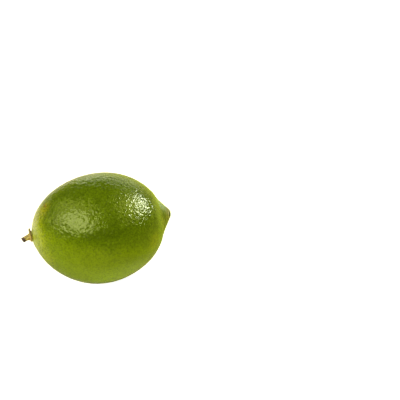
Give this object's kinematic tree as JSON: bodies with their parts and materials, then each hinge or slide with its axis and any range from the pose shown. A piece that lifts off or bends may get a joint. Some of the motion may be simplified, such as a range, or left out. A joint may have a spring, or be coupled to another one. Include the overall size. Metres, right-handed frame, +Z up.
{
  "type": "lime",
  "caption": "A whole green lime lying on its side, with a pointed nipple at one end and a dry star-shaped calyx with a short stub of stalk at the other.",
  "frame": {"origin": "the middle of the small flat spot that the lime rests on", "axes": "+X runs along the fruit's core towards the nipple, with the stem end at -X; +Z is up; +Y points away from a viewer who has the stem end on the left"},
  "size_m": [0.0703, 0.052, 0.0501],
  "materials": {
    "rind": "waxy green rind, pitted with oil glands, semi-gloss",
    "calyx": "dry olive-brown, matte",
    "stalk": "dry yellow-tan bark with a dark brown cut end, matte"
  },
  "bodies": {
    "root": {"fruit": "rind", "calyx": "calyx", "stem_stub": "stalk"}
  },
  "joints": []
}
